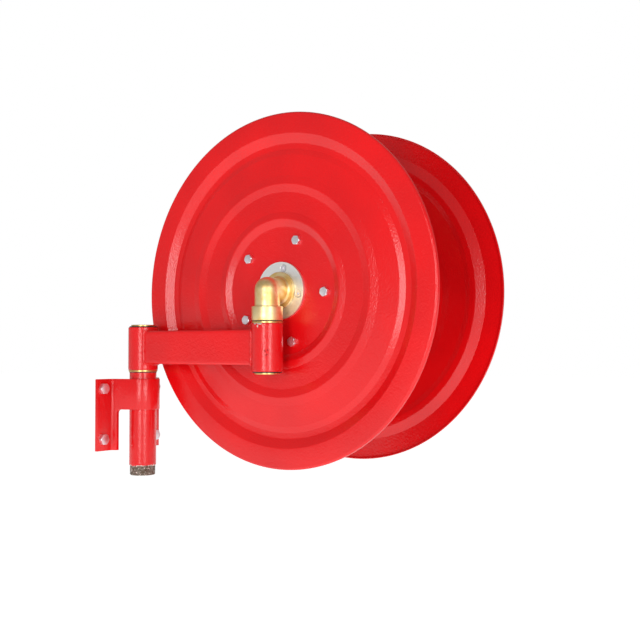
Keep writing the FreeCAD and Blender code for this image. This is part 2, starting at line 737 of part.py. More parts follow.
nodes = {
    "wall_bracket": wall_bracket(),
    "wall_bolts": wall_bolts(),
    "inlet_pipe": inlet_pipe(),
    "inlet_spindle": at_inlet(spindle(inlet_length, pipe_bore - spigot_gap, inlet_spigot_length)),
    "inlet_dust_seal": at_inlet(dust_seal()),
    "inlet_thrust_ring": at_inlet(thrust_ring()),
    "inlet_seals": at_inlet(spindle_seals(inlet_length)),
    "inlet_end_washer": at_inlet(end_washer(inlet_length)),
    "inlet_end_nut": at_inlet(end_nut(inlet_length)),
    "inlet_collar": collar(inlet_axis_x, inlet_length),
    "arm_box": arm_box(),
    "hub_collar": collar(hub_x, outlet_length),
    "outlet_spindle": at_hub_collar(spindle(outlet_length, elbow_thread_r, elbow_thread_length)),
    "outlet_dust_seal": at_hub_collar(dust_seal()),
    "outlet_thrust_ring": at_hub_collar(thrust_ring()),
    "outlet_seals": at_hub_collar(spindle_seals(outlet_length)),
    "outlet_end_washer": at_hub_collar(end_washer(outlet_length)),
    "outlet_end_nut": at_hub_collar(end_nut(outlet_length)),
    "brass_elbow": brass_elbow(),
    "hub_shaft": hub_shaft(),
    "hub_seals": hub_seals(),
    "hub_circlip": hub_circlip(),
    "axle_rod": axle_rod(),
    "axle_washer": axle_washer(),
    "axle_nut": axle_nut(),
    "hub_body": hub_body(),
    "hub_flange_screws": flange_screws(front_y, BACK),
    "hub_backing_ring": backing_ring(inner_face),
    "front_disc": front_disc(),
    "front_disc_bolts": disc_bolts(panel_y, INWARD),
    "front_disc_washers": front_washers,
    "front_disc_nuts": front_nuts,
    "drum_shell": drum_shell(),
    "rear_disc": rear_disc(),
    "rear_disc_bolts": disc_bolts(rear_panel_y, BACK),
    "rear_disc_washers": rear_washers,
    "rear_disc_nuts": rear_nuts,
    "rear_hub_flange": rear_hub_flange(),
    "rear_flange_screws": flange_screws(rear_y, INWARD),
    "rear_backing_ring": backing_ring(rear_inner_face - backing_ring_t),
    "rear_bush": rear_bush(),
    "outlet_pipe": outlet_pipe(),
    "outlet_locknut": outlet_locknut(),
    "outlet_elbow": outlet_elbow(),
    "hose_tail": hose_tail(),
}

os.makedirs("parts", exist_ok=True)
for name, shape in nodes.items():
    shape.exportStep(f"parts/{name}.step")
    print(name, len(shape.Solids), "solids", round(shape.Volume, 1), "mm3", "valid", shape.isValid())
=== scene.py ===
"""Looks of a swing-arm fire hose reel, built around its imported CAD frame."""
import math

import bmesh
import bpy
from bpy.props import FloatProperty, FloatVectorProperty, PointerProperty
from bpy.types import Operator, Panel, PropertyGroup
from mathutils import Matrix, Vector, noise


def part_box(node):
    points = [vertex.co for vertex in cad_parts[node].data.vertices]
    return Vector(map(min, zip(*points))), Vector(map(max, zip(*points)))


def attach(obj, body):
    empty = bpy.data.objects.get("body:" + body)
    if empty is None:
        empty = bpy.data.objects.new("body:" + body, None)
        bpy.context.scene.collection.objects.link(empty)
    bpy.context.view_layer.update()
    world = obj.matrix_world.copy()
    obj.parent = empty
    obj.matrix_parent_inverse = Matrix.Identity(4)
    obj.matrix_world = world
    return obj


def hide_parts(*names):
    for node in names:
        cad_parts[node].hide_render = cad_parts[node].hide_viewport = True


bl_info = {
    "name": "Fire hose reel",
    "version": (1, 0, 0),
    "blender": (4, 5, 0),
    "location": "View3D > Sidebar > Hose reel",
    "description": "Builds the visible pieces, finishes and stage of a swing-arm fire hose reel",
    "category": "Object",
}

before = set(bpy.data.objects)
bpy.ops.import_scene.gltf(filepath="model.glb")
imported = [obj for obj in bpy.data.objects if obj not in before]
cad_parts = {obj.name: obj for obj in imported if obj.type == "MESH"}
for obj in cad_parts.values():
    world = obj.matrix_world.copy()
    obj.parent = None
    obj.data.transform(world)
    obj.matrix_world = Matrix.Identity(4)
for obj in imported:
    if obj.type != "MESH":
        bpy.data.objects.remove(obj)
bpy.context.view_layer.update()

MM = 0.001                      # the frame is in metres; shapes here are worked out in millimetres
MERGE = 0.002                   # points closer than this are one point, in millimetres
SLIVER = 0.0005                 # edges shorter than this are dropped, in millimetres
X, Y, Z = Vector((1, 0, 0)), Vector((0, 1, 0)), Vector((0, 0, 1))


def box_mm(node):
    """The lowest and highest corners of a CAD node, in millimetres."""
    low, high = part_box(node)
    return Vector(low) / MM, Vector(high) / MM


def middle_mm(node):
    low, high = box_mm(node)
    return (low + high) / 2


def radius_mm(node):
    """Half the width of a CAD node along X."""
    low, high = box_mm(node)
    return (high.x - low.x) / 2


# ---- Places read from the frame ----
HUB = middle_mm("front_disc")                    # the reel's axis runs along Y through this point
FRONT_Y = box_mm("hub_body")[0].y                # outer face of the front hub flange
REAR_Y = box_mm("rear_hub_flange")[1].y          # outer face of the rear hub flange
INLET = middle_mm("inlet_pipe")                  # the inlet pipe's axis runs along Z through this point
SWIVEL_BORE = box_mm("inlet_spindle")[1].x - INLET.x + 0.05      # of the collars and rings round a spindle

# ---- Pressed disc: outer face as (radius, depth towards the drum) and the bend at each corner ----
DISC_FACE = (
    (29.5, 4.0), (98.8, 4.0), (110.0, -2.0), (121.2, 1.0), (151.7, 1.0), (164.5, -2.0), (177.3, 1.0),
    (210.0, 5.3), (219.0, 8.5), (228.0, 8.5), (242.0, 0.0), (275.0, 0.0), (275.0, 6.0),
)
DISC_BENDS = (5.0,) * 6 + (3.0,) * 4 + (4.0,)

LATHE_STEPS = 96                # facets round a small turned piece
DISC_STEPS = 192                # facets round a disc
THREAD_PITCH = 2.309            # G 1 1/4
THREAD_DEPTH = 1.0
WAVE_RATE = 20                  # a wave texture's own frequency


# ---- Settings that a user may change ----
def colour_prop(name, hexcode, description):
    return FloatVectorProperty(name=name, description=description, subtype="COLOR", size=3, min=0.0, max=1.0,
                               default=linear(hexcode)[:3])


def length_prop(name, millimetres, description):
    return FloatProperty(name=name, description=description, default=millimetres * MM, min=0.0,
                         subtype="DISTANCE", unit="LENGTH")


def linear(hexcode):
    """An sRGB hex colour as linear RGBA."""
    parts = [int(hexcode[i:i + 2], 16) / 255 for i in (0, 2, 4)]
    return tuple(c / 12.92 if c <= 0.04045 else ((c + 0.055) / 1.055) ** 2.4 for c in parts) + (1.0,)


class FinishSettings(PropertyGroup):
    """Colours of the paint and the metals."""
    red: colour_prop("Red", "E00D12", "Colour of the red powder coat")
    red_deep: colour_prop("Deep red", "CF0A10", "Where the powder coat lies thicker")
    primer: colour_prop("Primer", "D9C4BC", "Pale coat that shows where the red has chipped")
    brass: colour_prop("Brass", "F7DFAA", "Colour of the cast elbow")
    brass_turned: colour_prop("Turned brass", "E0BC78", "Colour of the turned rings and nuts")
    aluminium: colour_prop("Aluminium", "F4F3F1", "Colour of the turned hub flanges")
    zinc: colour_prop("Zinc plate", "F2EEF4", "Colour of the plated bolts")
    steel: colour_prop("Bare steel", "9A9084", "Colour of the pipe's bare thread")


class DiscSettings(PropertyGroup):
    """Sizes of the two pressed discs and the drum."""
    sheet: length_prop("Sheet", 1.5, "Thickness of the disc and drum sheet")
    drum_radius: length_prop("Drum radius", 96.0, "Outer radius of the drum")
    drum_lip: length_prop("Drum lip", 26.0, "Width of the drum's inward flanges")


class ArmSettings(PropertyGroup):
    """Details of the arm and its collars."""
    tube_corner: length_prop("Tube corner", 3.0, "Corner radius of the box-section arm")
    collar_edge: length_prop("Collar edge", 1.1, "Rounding of the collars' edges")
    weld_radius: length_prop("Weld bead", 2.2, "Radius of the weld beads round the arm's ends")


class FastenerSettings(PropertyGroup):
    """Details of bolts, nuts and screws."""
    edge: length_prop("Edge", 0.35, "Rounding of the edges of bolts and nuts")
    screw_gap: length_prop("Screw gap", 0.75, "Gap round the head of a countersunk screw")


class StageSettings(PropertyGroup):
    """Floor, lamps and camera."""
    floor_drop: FloatProperty(name="Floor", description="Height of the floor below the wall bolts' centre",
                              default=0.75, min=0.2, subtype="DISTANCE", unit="LENGTH")
    lamp_power: FloatProperty(name="Softbox power", description="Power of each tall softbox", default=15.0,
                              min=0.0, subtype="POWER", unit="POWER")
    surround: FloatProperty(name="Surround", description="Brightness of the white surround", default=0.34,
                            min=0.0, max=4.0)
    lens: FloatProperty(name="Lens", description="Focal length on a 36 mm sensor", default=59.69, min=10.0,
                        subtype="DISTANCE_CAMERA")


# ---- Materials ----
def add(tree, kind, inputs=None, **settings):
    """Adds a node with its properties and its inputs."""
    made = tree.nodes.new(kind)
    for name, value in settings.items():
        setattr(made, name, value)
    feed(tree, made, inputs or {})
    return made


def feed(tree, node, inputs):
    """Gives each input of a node its value, or the socket that feeds it."""
    for name, value in inputs.items():
        if isinstance(value, bpy.types.NodeSocket):
            tree.links.new(value, node.inputs[name])
        else:
            node.inputs[name].default_value = value


def blank(name):
    """A new material: its tree, its shader and the object coordinates."""
    made = bpy.data.materials.new(name)
    made.use_nodes = True
    tree = made.node_tree
    return made, tree, tree.nodes["Principled BSDF"], add(tree, "ShaderNodeTexCoord").outputs["Object"]


def grains(millimetres):
    """Noise scale whose features are about this size."""
    return 1 / (millimetres * MM)


def opaque(colour):
    return tuple(colour) + (1.0,)


def near(tree, place, points, radius):
    """1 at the points, falling to 0 at a radius in millimetres."""
    nearest = None
    for point in points:
        away = add(tree, "ShaderNodeVectorMath", {0: place, 1: Vector(point) * MM}, operation="DISTANCE")
        close = add(tree, "ShaderNodeMapRange",
                    {0: away.outputs["Value"], 1: 0.0, 2: radius * MM, 3: 1.0, 4: 0.0})
        if nearest:
            close = add(tree, "ShaderNodeMath", {0: nearest, 1: close.outputs[0]}, operation="MAXIMUM")
        nearest = close.outputs[0]
    return nearest


def powder_coat(finish, name, chips=0.0, knocks=(), pits=()):
    """Epoxy powder coat, sprayed dry and baked: glossy, with the shallow orange peel that breaks up
    highlights. chips is how far the coat has come away along sharp edges, down to pale primer and grey
    steel; knocks are places where it was struck, and pits are pinholes left by the bake, dented and
    painted dark red as painted shade in each hole."""
    made, tree, shader, place = blank(name)
    cloud = add(tree, "ShaderNodeTexNoise", {"Vector": place, "Scale": grains(90), "Detail": 1.0})
    depth = add(tree, "ShaderNodeMapRange", {0: cloud.outputs[0], 1: 0.2, 2: 0.8},
                interpolation_type="SMOOTHSTEP")
    colour = add(tree, "ShaderNodeMix",
                 {0: depth.outputs[0], 6: opaque(finish.red), 7: opaque(finish.red_deep)},
                 data_type="RGBA").outputs[2]
    # real orange peel is 1 to 2 mm across; it is drawn a little coarser so that it shows
    height = add(tree, "ShaderNodeTexNoise",
                 {"Vector": place, "Scale": grains(2.6), "Detail": 1.0, "Roughness": 0.5}).outputs[0]
    gloss = add(tree, "ShaderNodeMapRange", {0: cloud.outputs[0], 1: 0.2, 2: 0.8, 3: 0.17, 4: 0.25}).outputs[0]
    if chips:
        flakes = add(tree, "ShaderNodeTexNoise",
                     {"Vector": place, "Scale": grains(4.5), "Detail": 5.0, "Roughness": 0.65})
        edge = add(tree, "ShaderNodeAttribute", attribute_name="edge").outputs["Fac"]
        reach = add(tree, "ShaderNodeMath", {0: edge, 1: chips, 2: flakes.outputs[0]},
                    operation="MULTIPLY_ADD").outputs[0]
        if knocks:
            struck = near(tree, place, knocks, 4.5)
            reach = add(tree, "ShaderNodeMath", {0: struck, 1: 0.5, 2: reach},
                        operation="MULTIPLY_ADD").outputs[0]
        # the red goes first, and the primer under it where the wear reaches further
        gone = add(tree, "ShaderNodeMapRange", {0: reach, 1: 0.78, 2: 0.81}).outputs[0]
        bare = add(tree, "ShaderNodeMapRange", {0: reach, 1: 0.92, 2: 0.96}).outputs[0]
        under = add(tree, "ShaderNodeMix", {0: bare, 6: opaque(finish.primer), 7: opaque(finish.steel)},
                    data_type="RGBA").outputs[2]
        colour = add(tree, "ShaderNodeMix", {0: gone, 6: colour, 7: under}, data_type="RGBA").outputs[2]
        gloss = add(tree, "ShaderNodeMath", {0: gone, 1: 0.3, 2: gloss}, operation="MULTIPLY_ADD").outputs[0]
        height = add(tree, "ShaderNodeMath", {0: gone, 1: -1.2, 2: height},
                     operation="MULTIPLY_ADD").outputs[0]
    if pits:
        pit = near(tree, place, pits, 1.2)
        # each pit is dented by the bump and painted dark red: painted shade in the pinhole
        pit_shade = add(tree, "ShaderNodeMapRange", {0: pit, 1: 0.2, 2: 0.6}).outputs[0]
        colour = add(tree, "ShaderNodeMix", {0: pit_shade, 6: colour, 7: linear("3A0808")},
                     data_type="RGBA").outputs[2]
        height = add(tree, "ShaderNodeMath", {0: pit, 1: -2.0, 2: height}, operation="MULTIPLY_ADD").outputs[0]
    bump = add(tree, "ShaderNodeBump", {"Height": height, "Strength": 1.0, "Distance": 0.33 * MM})
    feed(tree, shader, {"Base Color": colour, "Roughness": gloss, "Normal": bump.outputs[0], "IOR": 1.5})
    return made


def cast_brass(finish, name):
    """Sand-cast brass, tumbled: satin, with a fine skin and slow tarnish that varies the highlight."""
    made, tree, shader, place = blank(name)
    tarnish = add(tree, "ShaderNodeTexNoise", {"Vector": place, "Scale": grains(16), "Detail": 4.0})
    aged = add(tree, "ShaderNodeMapRange", {0: tarnish.outputs[0], 1: 0.35, 2: 0.75},
               interpolation_type="SMOOTHSTEP")
    darker = tuple(c * f for c, f in zip(finish.brass, (0.82, 0.66, 0.38)))
    colour = add(tree, "ShaderNodeMix", {0: aged.outputs[0], 6: opaque(finish.brass), 7: opaque(darker)},
                 data_type="RGBA")
    skin = add(tree, "ShaderNodeTexNoise", {"Vector": place, "Scale": grains(1.8), "Detail": 4.0})
    satin = add(tree, "ShaderNodeMapRange", {0: tarnish.outputs[0], 1: 0.3, 2: 0.7, 3: 0.36, 4: 0.48})
    bump = add(tree, "ShaderNodeBump", {"Height": skin.outputs[0], "Strength": 0.7, "Distance": 0.14 * MM})
    feed(tree, shader, {"Base Color": colour.outputs[2], "Roughness": satin.outputs[0],
                        "Normal": bump.outputs[0], "Metallic": 1.0})
    return made


def turned_metal(name, colour, middle, roughness, pitch, dirt="4A4034", soil=0.45):
    """Lathe-turned metal: fine tool marks draw the highlight out across them, and dirt gathers in patches.
    The marks are rings round a Y axis through middle, or rows along Z where middle is None."""
    made, tree, shader, place = blank(name)
    centred, pattern = place, {"wave_type": "BANDS", "bands_direction": "Z"}
    if middle is not None:
        centred = add(tree, "ShaderNodeMapping", {"Vector": place, "Location": -middle * MM}).outputs[0]
        pattern = {"wave_type": "RINGS", "rings_direction": "Y"}
    marks = add(tree, "ShaderNodeTexWave", {"Vector": centred, "Scale": grains(pitch) / WAVE_RATE,
                                            "Distortion": 0.3, "Detail": 2.0}, **pattern)
    soot = add(tree, "ShaderNodeTexNoise",
               {"Vector": place, "Scale": grains(6), "Detail": 6.0, "Roughness": 0.7})
    dark = add(tree, "ShaderNodeMapRange", {0: soot.outputs[0], 1: 0.5, 2: 0.78, 3: 0.0, 4: soil})
    mixed = add(tree, "ShaderNodeMix", {0: dark.outputs[0], 6: opaque(colour), 7: linear(dirt)},
                data_type="RGBA")
    dull = add(tree, "ShaderNodeMapRange",
               {0: soot.outputs[0], 1: 0.3, 2: 0.8, 3: roughness, 4: roughness + 0.16})
    bump = add(tree, "ShaderNodeBump", {"Height": marks.outputs[1], "Strength": 0.35, "Distance": 0.05 * MM})
    feed(tree, shader, {"Base Color": mixed.outputs[2], "Roughness": dull.outputs[0],
                        "Normal": bump.outputs[0], "Metallic": 1.0})
    return made


def zinc_plate(finish, name):
    """Cold-headed steel, zinc plated: bright and slightly blue, with small dull patches from handling."""
    made, tree, shader, place = blank(name)
    patch = add(tree, "ShaderNodeTexNoise", {"Vector": place, "Scale": grains(2.6), "Detail": 5.0})
    handled = add(tree, "ShaderNodeMapRange", {0: patch.outputs[0], 1: 0.5, 2: 0.8})
    dull = tuple(c * 0.7 for c in finish.zinc)
    colour = add(tree, "ShaderNodeMix", {0: handled.outputs[0], 6: opaque(finish.zinc), 7: opaque(dull)},
                 data_type="RGBA")
    satin = add(tree, "ShaderNodeMapRange", {0: patch.outputs[0], 1: 0.3, 2: 0.7, 3: 0.3, 4: 0.44})
    bump = add(tree, "ShaderNodeBump", {"Height": patch.outputs[0], "Strength": 0.3, "Distance": 0.05 * MM})
    feed(tree, shader, {"Base Color": colour.outputs[2], "Roughness": satin.outputs[0],
                        "Normal": bump.outputs[0], "Metallic": 1.0})
    return made


def bare_thread(finish, name):
    """Cut pipe thread left bare: grey-brown steel with rust stain, flux and flecks of pale paint."""
    made, tree, shader, place = blank(name)
    stain = add(tree, "ShaderNodeTexNoise",
                {"Vector": place, "Scale": grains(7), "Detail": 6.0, "Roughness": 0.7})
    fleck = add(tree, "ShaderNodeTexNoise", {"Vector": place, "Scale": grains(2.6), "Detail": 3.0})
    rusty = add(tree, "ShaderNodeMapRange", {0: stain.outputs[0], 1: 0.42, 2: 0.62})
    stained = add(tree, "ShaderNodeMix", {0: rusty.outputs[0], 6: opaque(finish.steel), 7: linear("6E5A48")},
                  data_type="RGBA")
    pale = add(tree, "ShaderNodeMapRange", {0: fleck.outputs[0], 1: 0.6, 2: 0.64})
    colour = add(tree, "ShaderNodeMix", {0: pale.outputs[0], 6: stained.outputs[2], 7: opaque(finish.primer)},
                 data_type="RGBA")
    satin = add(tree, "ShaderNodeMapRange", {0: stain.outputs[0], 1: 0.3, 2: 0.7, 3: 0.4, 4: 0.65})
    metal = add(tree, "ShaderNodeMapRange", {0: pale.outputs[0], 3: 0.85, 4: 0.0})
    bump = add(tree, "ShaderNodeBump", {"Height": stain.outputs[0], "Strength": 0.5, "Distance": 0.2 * MM})
    feed(tree, shader, {"Base Color": colour.outputs[2], "Roughness": satin.outputs[0],
                        "Normal": bump.outputs[0], "Metallic": metal.outputs[0]})
    return made


def moulded_black(name, hexcode, roughness):
    """Moulded rubber or acetal: near black, dull, with a faint mould grain."""
    made, tree, shader, place = blank(name)
    grain = add(tree, "ShaderNodeTexNoise", {"Vector": place, "Scale": grains(0.9), "Detail": 3.0})
    worn = add(tree, "ShaderNodeMapRange", {0: grain.outputs[0], 1: 0.4, 2: 0.7})
    lighter = tuple(min(1.0, c * 1.7) for c in linear(hexcode)[:3])
    colour = add(tree, "ShaderNodeMix", {0: worn.outputs[0], 6: linear(hexcode), 7: opaque(lighter)},
                 data_type="RGBA")
    bump = add(tree, "ShaderNodeBump", {"Height": grain.outputs[0], "Strength": 0.3, "Distance": 0.05 * MM})
    feed(tree, shader, {"Base Color": colour.outputs[2], "Normal": bump.outputs[0], "Roughness": roughness})
    return made


def on_collar(centre_x, azimuth, height):
    """A place on a collar's skin; azimuth 0 faces -Y and 90 faces +X."""
    radius = radius_mm("hub_collar")
    turned = math.radians(azimuth)
    return Vector((centre_x + radius * math.sin(turned), -radius * math.cos(turned), height))


MADE = {}


def finish_of(kind):
    """The material of that kind, made when it is first asked for."""
    finish = bpy.context.scene.reel_finish
    top = box_mm("hub_collar")[1].z
    knocks = [on_collar(HUB.x, a, top - d) for a, d in ((4, 0.4), (-10, 0.3), (12, 0.2), (0, 4.5))]
    pits = [on_collar(HUB.x, a, z) for a, z in ((28, 103), (31, 101), (40, 103.5), (37, 97), (33, 96))]
    makers = {
        "powder_coat": lambda name: powder_coat(finish, name),
        "worn_powder_coat": lambda name: powder_coat(finish, name, 0.2, knocks, pits),
        "frayed_powder_coat": lambda name: powder_coat(finish, name, 0.4),
        "sand_cast_brass": lambda name: cast_brass(finish, name),
        "lathe_turned_brass": lambda name: turned_metal(name, finish.brass_turned, None, 0.24, 0.8),
        "lathe_turned_aluminium": lambda name: turned_metal(name, finish.aluminium, HUB, 0.38, 1.6, "A8A6A2",
                                                            0.15),
        "lathe_turned_steel": lambda name: turned_metal(name, linear("B4B2AE")[:3], None, 0.3, 0.8),
        "zinc_plate": lambda name: zinc_plate(finish, name),
        "bare_thread": lambda name: bare_thread(finish, name),
        "moulded_rubber": lambda name: moulded_black(name, "1A1A1C", 0.62),
        "machined_acetal": lambda name: moulded_black(name, "141416", 0.38),
    }
    if kind not in MADE:
        MADE[kind] = makers[kind](kind)
    return MADE[kind]


# ---- Shapes ----
def wire(bm, points, closed):
    """A chain of edges through the points."""
    verts = [bm.verts.new(p) for p in points]
    pairs = list(zip(verts, verts[1:])) + ([(verts[-1], verts[0])] if closed else [])
    for pair in pairs:
        bm.edges.new(pair)
    return verts


def round_corner(bm, vert, radius, segments=5):
    """Rounds one corner of a wire to a radius."""
    first, second = (edge.other_vert(vert).co - vert.co for edge in vert.link_edges)
    reach = radius / math.tan(first.angle(second) / 2)
    bmesh.ops.bevel(bm, geom=[vert], offset=reach, offset_type="OFFSET", segments=segments, profile=0.5,
                    affect="VERTICES", material=-1)


def turn(profile, bends, centre, axis, steps=LATHE_STEPS, closed=True, segments=5):
    """Spins a profile of (radius, along) points about an axis through centre. bends rounds its corners."""
    bm = bmesh.new()
    verts = wire(bm, [centre + X * r + axis * along for r, along in profile], closed)
    for vert, radius in zip(verts, bends):
        if radius:
            round_corner(bm, vert, radius, segments)
    bmesh.ops.spin(bm, geom=bm.verts[:] + bm.edges[:], cent=centre, axis=axis, dvec=(0, 0, 0),
                   angle=2 * math.pi, steps=steps, use_merge=True, use_normal_flip=False, use_duplicate=False)
    tidy(bm)
    return bm


def tidy(bm):
    """Closes seams and poles and turns faces outwards."""
    bmesh.ops.remove_doubles(bm, verts=bm.verts, dist=MERGE)
    bmesh.ops.dissolve_degenerate(bm, edges=bm.edges, dist=SLIVER)
    bmesh.ops.recalc_face_normals(bm, faces=bm.faces)


def ring_profile(inner, outer, low, high):
    """Profile of a plain ring."""
    return [(outer, low), (outer, high), (inner, high), (inner, low)]


def thicken(bm, outer, thickness):
    """Gives a skin its thickness, behind the side that faces outer."""
    if sum(f.normal.dot(outer) * f.calc_area() for f in bm.faces) < 0:
        bmesh.ops.reverse_faces(bm, faces=bm.faces)
    bmesh.ops.solidify(bm, geom=bm.faces[:], thickness=thickness)


def uneven(place, waves):
    """How far a rough line strays at a place; waves are (fineness, height)."""
    return sum(noise.noise(place * fineness) * height for fineness, height in waves)


def shade(bm, sharp=32.0, full_wear=25.0):
    """Smooth faces with hard edges past an angle, and an edge attribute for wear: 1 from another angle on."""
    edge_wear = bm.verts.layers.float.new("edge")
    for face in bm.faces:
        face.smooth = True
    for edge in bm.edges:
        edge.smooth = edge.calc_face_angle(0.0) < math.radians(sharp)
    for vert in bm.verts:
        turned = max((edge.calc_face_angle(0.0) for edge in vert.link_edges), default=0.0)
        vert[edge_wear] = min(1.0, turned / math.radians(full_wear))


def placed(name, data):
    """A new object in the scene."""
    made = bpy.data.objects.new(name, data)
    bpy.context.collection.objects.link(made)
    return made


def mesh_of(name, bm):
    """A mesh from the shape that was worked out, which is let go."""
    mesh = bpy.data.meshes.new(name)
    bm.to_mesh(mesh)
    bm.free()
    return mesh


def modify(piece, name, kind, **settings):
    """Adds a live modifier with its settings."""
    made = piece.modifiers.new(name, kind)
    for setting, value in settings.items():
        setattr(made, setting, value)


def finish_piece(bm, name, body, finish, replaced=()):
    """Makes the mesh a piece of the object, in metres, with its body, finish and CAD nodes."""
    shade(bm)
    bmesh.ops.scale(bm, vec=(MM, MM, MM), verts=bm.verts)
    piece = placed(name, mesh_of(name, bm))
    piece.data.materials.append(finish_of(finish))
    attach(piece, body)
    if replaced:
        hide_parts(*replaced)
    return piece


def taken_away(bm, tool):
    """The first mesh with the second cut out of it."""
    holders = [placed("cutting", mesh_of("cutting", source)) for source in (bm, tool)]
    modify(holders[0], "cut", "BOOLEAN", object=holders[1], operation="DIFFERENCE", solver="EXACT")
    result = bmesh.new()
    result.from_object(holders[0], bpy.context.evaluated_depsgraph_get())
    for holder in holders:
        bpy.data.objects.remove(holder)
    tidy(result)
    return result


def copy_of(node):
    """A merged copy of a CAD node's mesh, in millimetres, with flat areas in one face each."""
    bm = bmesh.new()
    bm.from_mesh(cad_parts[node].data)
    bmesh.ops.scale(bm, vec=(1 / MM,) * 3, verts=bm.verts)
    bmesh.ops.remove_doubles(bm, verts=bm.verts, dist=MERGE)
    bmesh.ops.dissolve_limit(bm, angle_limit=math.radians(1.0), use_dissolve_boundaries=False,
                             verts=bm.verts, edges=bm.edges, delimit={"NORMAL"})
    return bm


def round_edges(piece, width, angle=35.0, segments=3):
    """A live bevel on the sharp edges, with even shading over flat faces."""
    modify(piece, "edges", "BEVEL", width=width, segments=segments, limit_method="ANGLE",
           angle_limit=math.radians(angle), harden_normals=True, use_clamp_overlap=True)


def paint_node(node, finish):
    """Gives a CAD node that stays in view its finish."""
    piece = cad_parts[node]
    for slot in piece.material_slots:
        slot.link = "OBJECT"
        slot.material = finish_of(finish)


def islands(bm):
    """The separate solids of a mesh, each as its vertices."""
    left = set(bm.verts)
    found = []
    while left:
        stack = [left.pop()]
        island = list(stack)
        while stack:
            for edge in stack.pop().link_edges:
                for vert in edge.verts:
                    if vert in left:
                        left.discard(vert)
                        stack.append(vert)
                        island.append(vert)
        found.append(island)
    return found


def centre_of(verts):
    """The middle of the box round some vertices."""
    lows = [min(v.co[k] for v in verts) for k in range(3)]
    highs = [max(v.co[k] for v in verts) for k in range(3)]
    return Vector([(a + b) / 2 for a, b in zip(lows, highs)])


# ---- Reel ----
class REEL_OT_discs(Operator):
    """Makes the two pressed discs, each spun from its stepped section and given its sheet's thickness"""
    bl_idname = "reel.discs"
    bl_label = "Pressed discs"

    def execute(self, context):
        sheet = context.scene.reel_discs.sheet / MM
        for name, face_y, inward in (("front_disc", FRONT_Y, 1), ("rear_disc", REAR_Y, -1)):
            centre = Vector((HUB.x, face_y, HUB.z))
            bends = (0.0,) + DISC_BENDS + (0.0,)
            bm = turn(DISC_FACE, bends, centre, Y * inward, DISC_STEPS, closed=False, segments=6)
            thicken(bm, -Y * inward, sheet)
            tidy(bm)
            finish_piece(bm, name + "_pressing", "reel", "powder_coat", (name,))
        return {"FINISHED"}


class REEL_OT_drum(Operator):
    """Makes the drum between the discs, rolled from sheet with inward flanges"""
    bl_idname = "reel.drum"
    bl_label = "Drum"

    inside_bend = 3.0

    def execute(self, context):
        discs = context.scene.reel_discs
        low, high = box_mm("drum_shell")
        sheet, outer = discs.sheet / MM, discs.drum_radius / MM
        rim, inner = outer - discs.drum_lip / MM, outer - sheet
        profile = [(rim, low.y), (outer, low.y), (outer, high.y), (rim, high.y),
                   (rim, high.y - sheet), (inner, high.y - sheet), (inner, low.y + sheet), (rim, low.y + sheet)]
        outside_bend = self.inside_bend + sheet
        bends = [0, outside_bend, outside_bend, 0, 0, self.inside_bend, self.inside_bend, 0]
        bm = turn(profile, bends, Vector((HUB.x, 0, HUB.z)), Y, DISC_STEPS)
        finish_piece(bm, "drum", "reel", "powder_coat", ("drum_shell",))
        return {"FINISHED"}


# ---- Hub ----
class REEL_OT_hub(Operator):
    """Makes the two turned hub flanges with their countersunk socket screws"""
    bl_idname = "reel.hub"
    bl_label = "Hub flanges"

    def execute(self, context):
        fasteners = context.scene.reel_fasteners
        for node in ("hub_body", "rear_hub_flange"):
            piece = finish_piece(copy_of(node), node + "_turned", "reel", "lathe_turned_aluminium", (node,))
            round_edges(piece, 0.4 * MM)
        for node in ("hub_flange_screws", "rear_flange_screws"):
            bm = copy_of(node)
            for island in islands(bm):
                centre = centre_of(island)
                radius = max((v.co - centre).xz.length for v in island)
                share = 1 - fasteners.screw_gap / MM / radius
                bmesh.ops.scale(bm, vec=(share, 1, share), verts=island, space=Matrix.Translation(-centre))
            piece = finish_piece(bm, node + "_made", "reel", "zinc_plate", (node,))
            round_edges(piece, 0.2 * MM)
        return {"FINISHED"}


